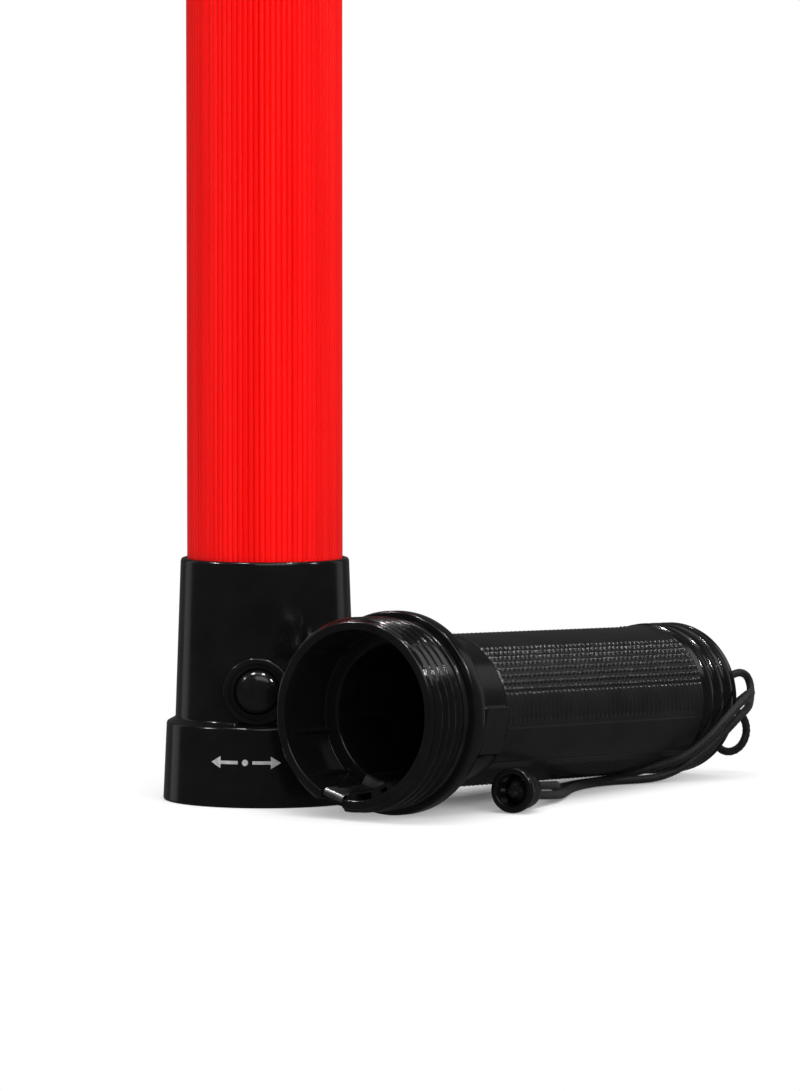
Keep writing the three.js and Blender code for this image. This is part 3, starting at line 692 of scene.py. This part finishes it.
def satin_where_held():
    """The mouth and the neck are as glossy as the head. The knurled part and the lugs are satin."""
    grip_tube.data.materials.append(MATERIALS["grip_plastic"])
    polygons = grip_tube.data.polygons
    middles = np.empty(len(polygons) * 3)
    polygons.foreach_get("center", middles)
    place = np.array(GRIP_PLACE)
    x, y, height = (((middles.reshape(-1, 3) - place[:3, 3]) @ place[:3, :3]) / MM).T
    satin = height < KNURL_HIGH + 0.5
    for lug in LUG_TURNS:
        on_side = np.abs(off_angle(np.arctan2(y, x), lug)) < LUG_REACH
        satin |= on_side & (height > LUG_LOW) & (height < LUG_HIGH)
    polygons.foreach_set("material_index", satin.astype(np.int32))


satin_where_held()

RING_HEIGHTS = (3.9, 8.8, 13.7)
RING_HALF = 2.0  # half of a ring's height
RING_VALLEY = 0.75
END_WALL = 7.0
PLUG_BORE_R = 15
SLOT_R = 13.4
SLOT_PLACE = GRIP_PLACE @ Matrix.Rotation(math.radians(4), 4, "Z")


def shape_tail(turn, radii, heights):
    """Three raised rings round the cap."""
    outer = (radii > TAIL_R - 0.1) & (heights > 1.8) & (heights < TAIL_CAP_LENGTH - 0.3)
    nearest = np.min([np.abs(heights - ring) for ring in RING_HEIGHTS], axis=0)
    bulge = np.sqrt(np.clip(1 - (nearest / RING_HALF) ** 2, 0, 1))
    return np.where(outer, radii - RING_VALLEY * (1 - bulge), radii), heights


def box_points(middle, size):
    """A bevelled block as points and faces."""
    work = bmesh.new()
    bmesh.ops.create_cube(work, size=1)
    bmesh.ops.scale(work, vec=size, verts=work.verts)
    edge = min(size) * 0.12
    bmesh.ops.bevel(work, geom=work.edges[:], offset=edge, segments=3, affect="EDGES", profile=0.5)
    bmesh.ops.translate(work, vec=middle, verts=work.verts)
    work.verts.ensure_lookup_table()
    points = [tuple(v.co) for v in work.verts]
    faces = [[v.index for v in f.verts] for f in work.faces]
    work.free()
    return points, faces


def tail_cap():
    """The end section: an open cup with three rings, cut by the slot that the lanyard passes through."""
    plug_end = TAIL_CAP_LENGTH + 5
    outline = soften([
        (0.6, 0, 0),
        (TAIL_R - 0.75, 0, 1.8),
        (TAIL_R, 1.2, 0.8),
        (TAIL_R, TAIL_CAP_LENGTH - 0.9, 0.3),
        (GRIP_R - 0.1, TAIL_CAP_LENGTH, 0.3),
        (BORE_R - 0.3, TAIL_CAP_LENGTH, 0.2),
        (BORE_R - 0.3, plug_end, 0.3),
        (PLUG_BORE_R, plug_end, 0.3),
        (PLUG_BORE_R, END_WALL, 0.6),
        (0.6, END_WALL, 0),
    ], 4)
    outline = refine(outline, steps_between(1.0, TAIL_CAP_LENGTH - 0.2, 0.4), closed=False)
    points, faces = capped_lathe(outline, 144, shape_tail)
    obj = piece("tail_cap_shell", points, faces, GRIP_PLACE, "grip", "black_plastic", ("tail_cap",), 35)
    cutter = tool_mesh("slot_cutter", *box_points((SLOT_R, 0, 1.0), (5.8, 13, 8)), SLOT_PLACE)
    boolean(obj, cutter, "DIFFERENCE")
    settle(obj, 35)


tail_cap()


def slot_bar():
    """The bar across the slot that the lanyard hitches round."""
    line = np.stack((np.linspace(SLOT_R - 3.3, SLOT_R + 3.3, 23), np.zeros(23), np.full(23, 2.2)), axis=1)
    points, faces = tube_along(line, 1.5, 24)
    piece("slot_bar", points, faces, SLOT_PLACE, "grip", "black_plastic")


slot_bar()


def ring_outline(inner, outer, low, high, low_fillet, high_fillet):
    """Section of a plain ring."""
    return soften([
        (inner, low, low_fillet), (outer, low, low_fillet),
        (outer, high, high_fillet), (inner, high, high_fillet),
    ], 5)


def seal(name, sizes, fillet, place, body, node):
    """A rubber ring. sizes are its inner and outer radius and its low and high end."""
    points, faces = lathe(ring_outline(*sizes, fillet, fillet), 144)
    piece(name, points, faces, place, body, "black_rubber", (node,), 50)


seal("seal_o_ring", (GROOVE_R + 0.15, 24.2, FLANGE_TOP + 0.35, GROOVE_TOP - 0.35), 0.9,
     GRIP_PLACE, "grip", "seal_ring")
seal("socket_gasket", (21.6, 23.8, 16.4, 17.7), 0.4, HEAD_PLACE, "head_gasket", "head_gasket")


def contact_strip():
    """A plated strip that lies in the bore's groove, steps out into the mouth and folds over the rim."""
    line = np.array([
        (13.6, 8.2), (13.6, 9.2), (13.7, 15), (14.1, 22.1), (15.6, 23.6), (17.3, 25.0), (17.4, 26.5),
        (17.4, 60), (17.4, 95), (17.4, CUP_BOTTOM - 1.2), (17.6, CUP_BOTTOM - 0.1), (18.3, CUP_BOTTOM + 0.4),
        (20.0, CUP_BOTTOM + 0.8), (20.4, CUP_BOTTOM + 1.6), (20.4, 142), (20.4, GRIP_LENGTH - 1.9),
        (20.55, GRIP_LENGTH - 1.4), (21.0, GRIP_LENGTH - 1.15), (21.7, GRIP_LENGTH - 1.15),
        (22.2, GRIP_LENGTH - 1.3),
    ])
    half_width, half_thick = 3.0, 0.2
    tangent = np.gradient(line, axis=0)
    tangent /= np.linalg.norm(tangent, axis=1)[:, None]
    normal = np.stack((tangent[:, 1], -tangent[:, 0]), axis=1)
    points = []
    for middle, out in zip(line, normal):
        for side, face in ((-1, -1), (1, -1), (1, 1), (-1, 1)):
            edge = middle + out * face * half_thick
            points.append((edge[0], side * half_width, edge[1]))
    last = (len(line) - 1) * 4
    faces = ring_faces(len(line), 4, closed=False) + [(3, 2, 1, 0), (last, last + 1, last + 2, last + 3)]
    place = GRIP_PLACE @ Matrix.Rotation(math.radians(STRIP_TURN), 4, "Z")
    obj = piece("battery_strip", points, faces, place, "grip", "steel", ("contact_strip",), 50)
    bevel = obj.modifiers.new("edge", "BEVEL")
    bevel.width = 0.1 * MM
    bevel.segments = 2
    bevel.limit_method = "ANGLE"
    bevel.angle_limit = math.radians(60)


contact_strip()


def strip_guard():
    """The thickened wall beside the strip, with two open pockets in its face."""
    low, high = GRIP_LENGTH - 11, GRIP_LENGTH - 0.35
    inner, outer = 18.9, CUP_R + 0.4
    turns = np.radians(np.linspace(-95, -54, 44))
    blend_in = np.clip(np.minimum(turns - turns[0], turns[-1] - turns) / math.radians(6), 0, 1)
    inner_line = outer - 0.5 - (outer - 0.5 - inner) * np.sqrt(np.clip(1 - (1 - blend_in) ** 2, 0, 1))
    section = [(0, 0), (1, 0), (1, 0.97), (0.97, 1), (0.12, 1), (0, 0.96)]
    points = []
    for angle, start in zip(turns, inner_line):
        for across, along in section:
            radius = start + (outer - start) * across
            points.append((radius * math.cos(angle), radius * math.sin(angle), low + (high - low) * along))
    size = len(section)
    last = (len(turns) - 1) * size
    faces = ring_faces(len(turns), size, closed=False)
    faces += [tuple(range(size))[::-1], tuple(last + k for k in range(size))]
    obj = piece("strip_guard", points, faces, GRIP_PLACE, "grip", "black_plastic", (), 40)
    for turn, pocket in ((-80, (1.6, 4.6, 10)), (-62.5, (1.1, 2.2, 10))):
        place = GRIP_PLACE @ Matrix.Rotation(math.radians(turn), 4, "Z")
        boolean(obj, tool_mesh("pocket", *box_points((20.4, 0, GRIP_LENGTH), pocket), place), "DIFFERENCE")
    settle(obj, 40)


strip_guard()

SPRING_LOW = 8.6
SPRING_HIGH = 33.0
END_TURN_LOW = 34.0


def spring_coil():
    """Conical tail spring that starts flat at its foot."""
    turns = 5.5
    t = np.linspace(0, 1, 280)
    angle = 2 * math.pi * turns * t
    radius = 11.5 - 5.6 * t
    climb = step(t, 0.0, 0.28) * 0.28 + np.clip(t - 0.28, 0, 1)
    height = SPRING_LOW + (SPRING_HIGH - SPRING_LOW) * climb
    line = np.stack((radius * np.cos(angle), radius * np.sin(angle), height), axis=1)
    points, faces = tube_along(line, 0.65, 12)
    obj = piece("spring_coil", points, faces, GRIP_PLACE, "grip", "steel", ("tail_spring",), 60)
    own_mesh(obj)


spring_coil()


def end_turn(name, sizes, fillets, stands_for=()):
    """One flat turn of the spring's closed end. sizes are as in seal()."""
    points, faces = lathe(ring_outline(*sizes, *fillets), 64)
    piece(name, points, faces, GRIP_PLACE, "tail_contact", "steel", stands_for, 60)


end_turn("spring_end_turn", (4.3, 5.7, END_TURN_LOW, 35.2), (0.3, 0.55), ("tail_spring_end_turn",))
end_turn("spring_end_turn_outer", (5.95, 7.25, END_TURN_LOW + 0.1, 35.0), (0.5, 0.45))

# ------------------------ cord stop
def cord_bell():
    """A bell-shaped stop with a lip round its open end and a hole for the doubled cord in its back."""
    length, hole_r, hollow_r, depth = 10.5, 2.7, 4.1, 8
    outline = soften([
        (hollow_r, 0.1, 0.35), (5.4, 0, 0.5), (5.8, 0.7, 0.4), (5.8, 2.0, 0.5), (5.15, 3.1, 1.2),
        (4.75, 8.2, 2), (3.9, length, 0.7), (hole_r, length, 0.35), (hole_r, depth, 0.3),
        (hollow_r, depth, 0.5),
    ], 5)
    points, faces = lathe(outline, 96)
    return piece("cord_bell_shell", points, faces, BELL_PLACE, "cord_stop", "black_plastic",
                 ("cord_bell",), 45)


bell_shell = cord_bell()

# ------------------------ head
HEAD_BASE_R = 26.27
SKIRT_TOP_R = 25.35
SKIRT_HEIGHT = 20.1
CONE_BOTTOM_R = 23.1
CONE_TOP_R = 21.66
HOUSING_HEIGHT = 62.36
SOCKET_R = 24.2
SOCKET_CREST_R = 23.6
SOCKET_DEPTH = 18
CHAMBER_R = 21.3
TUBE_R = 20.0
TUBE_SEAT_Z = 40.0
BOSS_R = 8.6
BOSS_FACE = 24.0
RECESS_R = 7.3
BUTTON_R = 5.65


def shape_socket(turn, radii, heights):
    """The female thread in the socket."""
    inside = (np.abs(radii - SOCKET_R) < 0.05) & (heights > 0.8) & (heights < 15.5)
    phase = (heights / THREAD_PITCH - turn / (2 * math.pi)) % 1
    crest = 1 - step(np.abs(phase - 0.5), 0.12, 0.36)
    fade = window(heights, 1.8, 14.2, 0.6)
    return np.where(inside, radii - (SOCKET_R - SOCKET_CREST_R) * crest * fade, radii), heights


def boss_lathe(radius, low, high, fillet):
    """A round block on the button's axis."""
    outline = soften([(0.4, low, 0), (radius, low, 0.0), (radius, high, fillet), (0.4, high, 0)], 5)
    return capped_lathe(outline, 96)


def head_steps(start, end):
    """A rule for refine: short steps where the socket is threaded."""
    in_socket = abs(start[0] - SOCKET_R) < 0.01 and abs(end[0] - SOCKET_R) < 0.01
    return 0.35 if in_socket else 6


def head_housing():
    """Skirt and cone in one shell, with the button's boss joined on and its recess and hole cut out."""
    outline = soften([
        (SOCKET_R, 0, 0.5),
        (HEAD_BASE_R, 0, 0.6),
        (SKIRT_TOP_R, SKIRT_HEIGHT, 0.45),
        (CONE_BOTTOM_R, SKIRT_HEIGHT + 1.2, 0.5),
        (CONE_TOP_R, HOUSING_HEIGHT - 0.2, 1.0),
        (TUBE_R + 0.3, HOUSING_HEIGHT, 0.35),
        (TUBE_R + 0.3, TUBE_SEAT_Z, 0),
        (TUBE_R - 2.2, TUBE_SEAT_Z, 0),
        (TUBE_R - 2.2, TUBE_SEAT_Z - 2, 0),
        (CHAMBER_R, TUBE_SEAT_Z - 2, 0.3),
        (CHAMBER_R, SOCKET_DEPTH, 0.2),
        (SOCKET_R, SOCKET_DEPTH, 0.2),
    ], 5)
    points, faces = lathe(refine(outline, head_steps), 192, shape_socket)
    stands_for = ("head_housing", "head_skirt")
    obj = piece("head_shell", points, faces, HEAD_PLACE, "head", "black_plastic", stands_for, 30)
    for name, sizes, operation in (
        ("boss", (BOSS_R, 21.0, BOSS_FACE, 0.55), "UNION"),
        ("recess", (RECESS_R, BOSS_FACE - 1.1, BOSS_FACE + 5, 0.0), "DIFFERENCE"),
        ("hole", (BUTTON_R + 0.3, 10, BOSS_FACE + 5, 0.0), "DIFFERENCE"),
    ):
        boolean(obj, tool_mesh(name, *boss_lathe(*sizes), BUTTON_PLACE), operation)
    settle(obj, 30)


head_housing()


def button():
    """The domed button, with a wider flange that keeps it in the housing."""
    flange_r = 7
    outline = soften([
        (0.5, 18.6, 0), (flange_r, 18.6, 0.2), (flange_r, 19.5, 0.2), (BUTTON_R, 19.5, 0.2),
        (BUTTON_R, 23.7, 1.2), (BUTTON_R - 1.7, 25.45, 2.6), (0.5, 25.9, 0),
    ], 8)
    points, faces = capped_lathe(outline, 96)
    piece("button_dome", points, faces, BUTTON_PLACE, "button", "black_rubber", ("button_cap",), 50)


button()

TUBE_RIBS = 86
RIB_DEPTH = 0.42
tube_low, tube_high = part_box("diffuser_tube")
TUBE_LOW_Z = tube_low.z / MM
TUBE_HIGH_Z = tube_high.z / MM


def shape_tube(turn, radii, heights):
    """Fine lengthwise ribs, rounded at their crests."""
    phase = np.abs(np.sin(TUBE_RIBS / 2 * turn))
    crest = np.clip(phase, 0, 1) ** 0.55
    outer = radii > TUBE_R - 0.6
    ends = window(heights, HOUSING_HEIGHT - 6, TUBE_HIGH_Z - 3, 0.4)
    return np.where(outer, radii - RIB_DEPTH * (1 - crest) * ends, radii), heights


def diffuser():
    """The ribbed tube, with plain stretches in the housing and just below the tip cap."""
    outline = soften([
        (TUBE_R - 1.8, TUBE_LOW_Z, 0.3), (TUBE_R, TUBE_LOW_Z, 0.3), (TUBE_R, HOUSING_HEIGHT - 7, 0),
        (TUBE_R, HOUSING_HEIGHT - 5, 0), (TUBE_R, TUBE_HIGH_Z - 3.6, 0), (TUBE_R, TUBE_HIGH_Z - 2.4, 0),
        (TUBE_R, TUBE_HIGH_Z, 0.3), (TUBE_R - 1.8, TUBE_HIGH_Z, 0.3),
    ], 2)
    outline = refine(outline, steps_between(TUBE_LOW_Z, TUBE_HIGH_Z, 12))
    points, faces = lathe(outline, TUBE_RIBS * 10, shape_tube)
    piece("ribbed_diffuser", points, faces, HEAD_PLACE, "head", "red_plastic", ("diffuser_tube",), 60)


diffuser()

tip_low, tip_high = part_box("tip_cap")
TIP_TOP = tip_high.z / MM
TIP_R = (tip_high.x - tip_low.x) / 2 / MM


def shape_tip(turn, radii, heights):
    """A band of shallow finger grooves round the cap."""
    wave = 0.5 - 0.5 * np.cos(24 * turn)
    band = window(heights, TUBE_HIGH_Z + 3.2, TUBE_HIGH_Z + 12.5, 0.6) * (radii > TIP_R - 0.3)
    return radii - 0.45 * band * wave ** 4, heights


def tip():
    """A domed cap on a hollow plug that fits the open end of the tube."""
    flat_r, dome_height = 3, 9
    dome = [
        (flat_r + (TIP_R - flat_r) * math.cos(a), TIP_TOP - dome_height + dome_height * math.sin(a), 0)
        for a in map(math.radians, range(0, 91, 6))
    ]
    plug_r = TUBE_R - 2.1
    plug_low = TUBE_HIGH_Z - 10
    rim = TUBE_HIGH_Z + 0.3
    outline = soften([
        (0.8, TIP_TOP - 12, 0), (plug_r - 2, TIP_TOP - 12, 0), (plug_r - 2, plug_low, 0.3),
        (plug_r, plug_low, 0.3), (plug_r, rim, 0), (TIP_R, rim, 0.5), *dome, (0.8, TIP_TOP, 0),
    ], 4)
    outline = refine(outline, steps_between(TUBE_HIGH_Z + 0.4, TIP_TOP - 8, 0.8), closed=False)
    points, faces = capped_lathe(outline, 144, shape_tip)
    piece("tip_dome", points, faces, HEAD_PLACE, "head", "black_plastic", ("tip_cap",), 35)


tip()


def turn_mark():
    """A plain double arrow printed on the skirt: the way that the head screws on and off."""
    tip_x, barb_x, tail_x = -9.2, -9.2 + 2.6, -1.9
    barb, shaft, dot_r = 1.55, 0.42, 0.8
    arrow = [
        (tip_x, 0), (barb_x, -barb), (barb_x, -shaft), (tail_x, -shaft), (tail_x, shaft), (barb_x, shaft),
        (barb_x, barb),
    ]
    round_dot = np.linspace(0, 2 * math.pi, 24, endpoint=False)
    shapes = (
        arrow,
        [(-x, y) for x, y in reversed(arrow)],
        [(dot_r * math.cos(a), dot_r * math.sin(a)) for a in round_dot],
    )
    work = bmesh.new()
    for shape in shapes:
        face = work.faces.new([work.verts.new((x, y, 0)) for x, y in shape])
        work.faces.ensure_lookup_table()
        bmesh.ops.triangulate(work, faces=[face])
    for _ in range(3):
        long_edges = [e for e in work.edges if e.calc_length() > 0.9]
        if long_edges:
            bmesh.ops.subdivide_edges(work, edges=long_edges, cuts=1)
    bmesh.ops.triangulate(work, faces=work.faces[:])
    extruded = bmesh.ops.extrude_face_region(work, geom=work.faces[:])
    for vert in [g for g in extruded["geom"] if isinstance(g, bmesh.types.BMVert)]:
        vert.co.z = 1
    work.verts.ensure_lookup_table()

    # Wrapped round the skirt's taper: one side of the print just inside its surface, the other just outside.
    middle_height, middle_turn = 11.6, math.radians(-66.0)
    taper = (HEAD_BASE_R - SKIRT_TOP_R) / SKIRT_HEIGHT
    points = []
    for vert in work.verts:
        x, y, level = vert.co
        height = middle_height + y
        radius = HEAD_BASE_R - taper * height - 0.1 + 0.14 * level
        angle = middle_turn + x / (HEAD_BASE_R - taper * middle_height)
        points.append((radius * math.cos(angle), radius * math.sin(angle), height))
    faces = [[v.index for v in f.verts] for f in work.faces]
    work.free()
    return piece("turn_mark", points, faces, HEAD_PLACE, "head", "black_plastic", (), 20)


mark = turn_mark()
mark.data.materials[0] = MATERIALS["pale_print"]

# ------------------------ finishes of the CAD nodes that stay
for row in RECORD["subparts"]:
    node = NODES[row["node"]]
    if node.hide_render:
        continue
    node.data.materials.clear()
    node.data.materials.append(MATERIALS[row["material_slot"]])
    node.data.shade_smooth()
    node.data.set_sharp_from_angle(angle=math.radians(30))


# ------------------------ stage and light
FLOOR_FADE = (0.0, 0.16)  # distances from the middle over which the floor turns into backdrop


def floor():
    """A pale floor round the object that fades into the white backdrop."""
    reach = 3.0
    mesh = bpy.data.meshes.new("floor")
    corners = [(-reach, -reach, 0), (reach, -reach, 0), (reach, reach, 0), (-reach, reach, 0)]
    mesh.from_pydata(corners, [], [(0, 1, 2, 3)])
    obj = bpy.data.objects.new("floor", mesh)
    scene.collection.objects.link(obj)
    material = surface_noise(
        new_material("pale_floor", specular=0.1),
        (0.87, 0.87, 0.87), (0.89, 0.89, 0.89), (0.85, 0.95), 3)
    tree = material.node_tree
    make, link = tree.nodes.new, tree.links.new
    glow = make("ShaderNodeEmission")
    glow.inputs["Color"].default_value = (1, 1, 1, 1)
    glow.inputs["Strength"].default_value = 1.0
    coordinates = make("ShaderNodeTexCoord")
    distance = make("ShaderNodeVectorMath")
    distance.operation = "LENGTH"
    link(coordinates.outputs["Object"], distance.inputs[0])
    fade = make("ShaderNodeMapRange")
    fade.interpolation_type = "SMOOTHSTEP"
    fade.inputs["From Min"].default_value = FLOOR_FADE[0]
    fade.inputs["From Max"].default_value = FLOOR_FADE[1]
    link(distance.outputs["Value"], fade.inputs["Value"])
    mix = make("ShaderNodeMixShader")
    link(fade.outputs["Result"], mix.inputs["Fac"])
    link(tree.nodes["Principled BSDF"].outputs["BSDF"], mix.inputs[1])
    link(glow.outputs["Emission"], mix.inputs[2])
    link(mix.outputs["Shader"], tree.nodes["Material Output"].inputs["Surface"])
    obj.data.materials.append(material)
    obj.visible_glossy = False


floor()


def studio_world(seen, reflected, ambient):
    """A white backdrop that reflects as a dim room."""
    world = bpy.data.worlds.new("studio")
    scene.world = world
    world.use_nodes = True
    tree = world.node_tree
    make, link = tree.nodes.new, tree.links.new
    paths = make("ShaderNodeLightPath")
    strength = ambient
    for ray, level in (("Is Glossy Ray", reflected), ("Is Camera Ray", seen)):
        mix = make("ShaderNodeMix")
        mix.data_type = "FLOAT"
        link(paths.outputs[ray], mix.inputs["Factor"])
        if isinstance(strength, float):
            mix.inputs["A"].default_value = strength
        else:
            link(strength, mix.inputs["A"])
        mix.inputs["B"].default_value = level
        strength = mix.outputs["Result"]
    backdrop = tree.nodes["Background"]
    backdrop.inputs["Color"].default_value = (1, 1, 1, 1)
    link(strength, backdrop.inputs["Strength"])


studio_world(seen=1.0, reflected=0.08, ambient=0.4)


def area_light(name, place, target, size, power, diffuse=True, glossy=True):
    """A rectangular light aimed at a point. diffuse and glossy say which reflections show it."""
    data = bpy.data.lights.new(name, "AREA")
    data.shape = "RECTANGLE"
    data.size, data.size_y = size
    data.energy = power
    obj = bpy.data.objects.new(name, data)
    obj.location = place
    obj.rotation_euler = (Vector(target) - Vector(place)).to_track_quat("-Z", "Y").to_euler()
    obj.visible_diffuse = diffuse
    obj.visible_glossy = glossy
    scene.collection.objects.link(obj)


camera_right = Vector((math.cos(CAMERA_TURN), math.sin(CAMERA_TURN), 0))
towards_camera = Vector((math.sin(CAMERA_TURN), -math.cos(CAMERA_TURN), 0))
up = Vector((0, 0, 1))
middle = Vector((0.0, -0.01, 0.08))
LAMP_DISTANCE = 1.5
LAMPS = ((-0.8, 0.66, 0.1), (-0.3, 0.97, 0.05), (0.3, 0.97, 0.05), (0.8, 0.62, 0.1))  # right, up, nearer

# Broad light for colour, then the softboxes and small lamps that the glossy plastic reflects.
fill_place = middle + towards_camera * 1.9 + camera_right * 0.6 + up * 0.9
area_light("fill_front", fill_place, middle, (1.6, 1.6), 38, glossy=False)
area_light("fill_top", middle + up * 2.4, middle, (2.4, 2.4), 64, glossy=False)
area_light("softbox_top", middle + up * 1.6, middle, (1.5, 0.9), 6, diffuse=False)
front_place = middle + towards_camera * 1.1 + camera_right * 0.3 + up * 1.0
area_light("softbox_front", front_place, middle, (1.3, 0.8), 9, diffuse=False)
for name, side in (("softbox_left", -1), ("softbox_right", 1)):
    place = middle + camera_right * side * 1.3 - towards_camera * 0.9 + up * 0.3
    area_light(name, place, middle, (0.5, 1.3), 0.7, diffuse=False)
for i, (right, high, nearer) in enumerate(LAMPS):
    place = middle + (camera_right * right + up * high + towards_camera * nearer) * LAMP_DISTANCE
    area_light(f"lamp_{i + 1}", place, middle, (0.09, 0.09), 10, diffuse=False)

scene.view_settings.view_transform = "Standard"

bpy.context.view_layer.update()
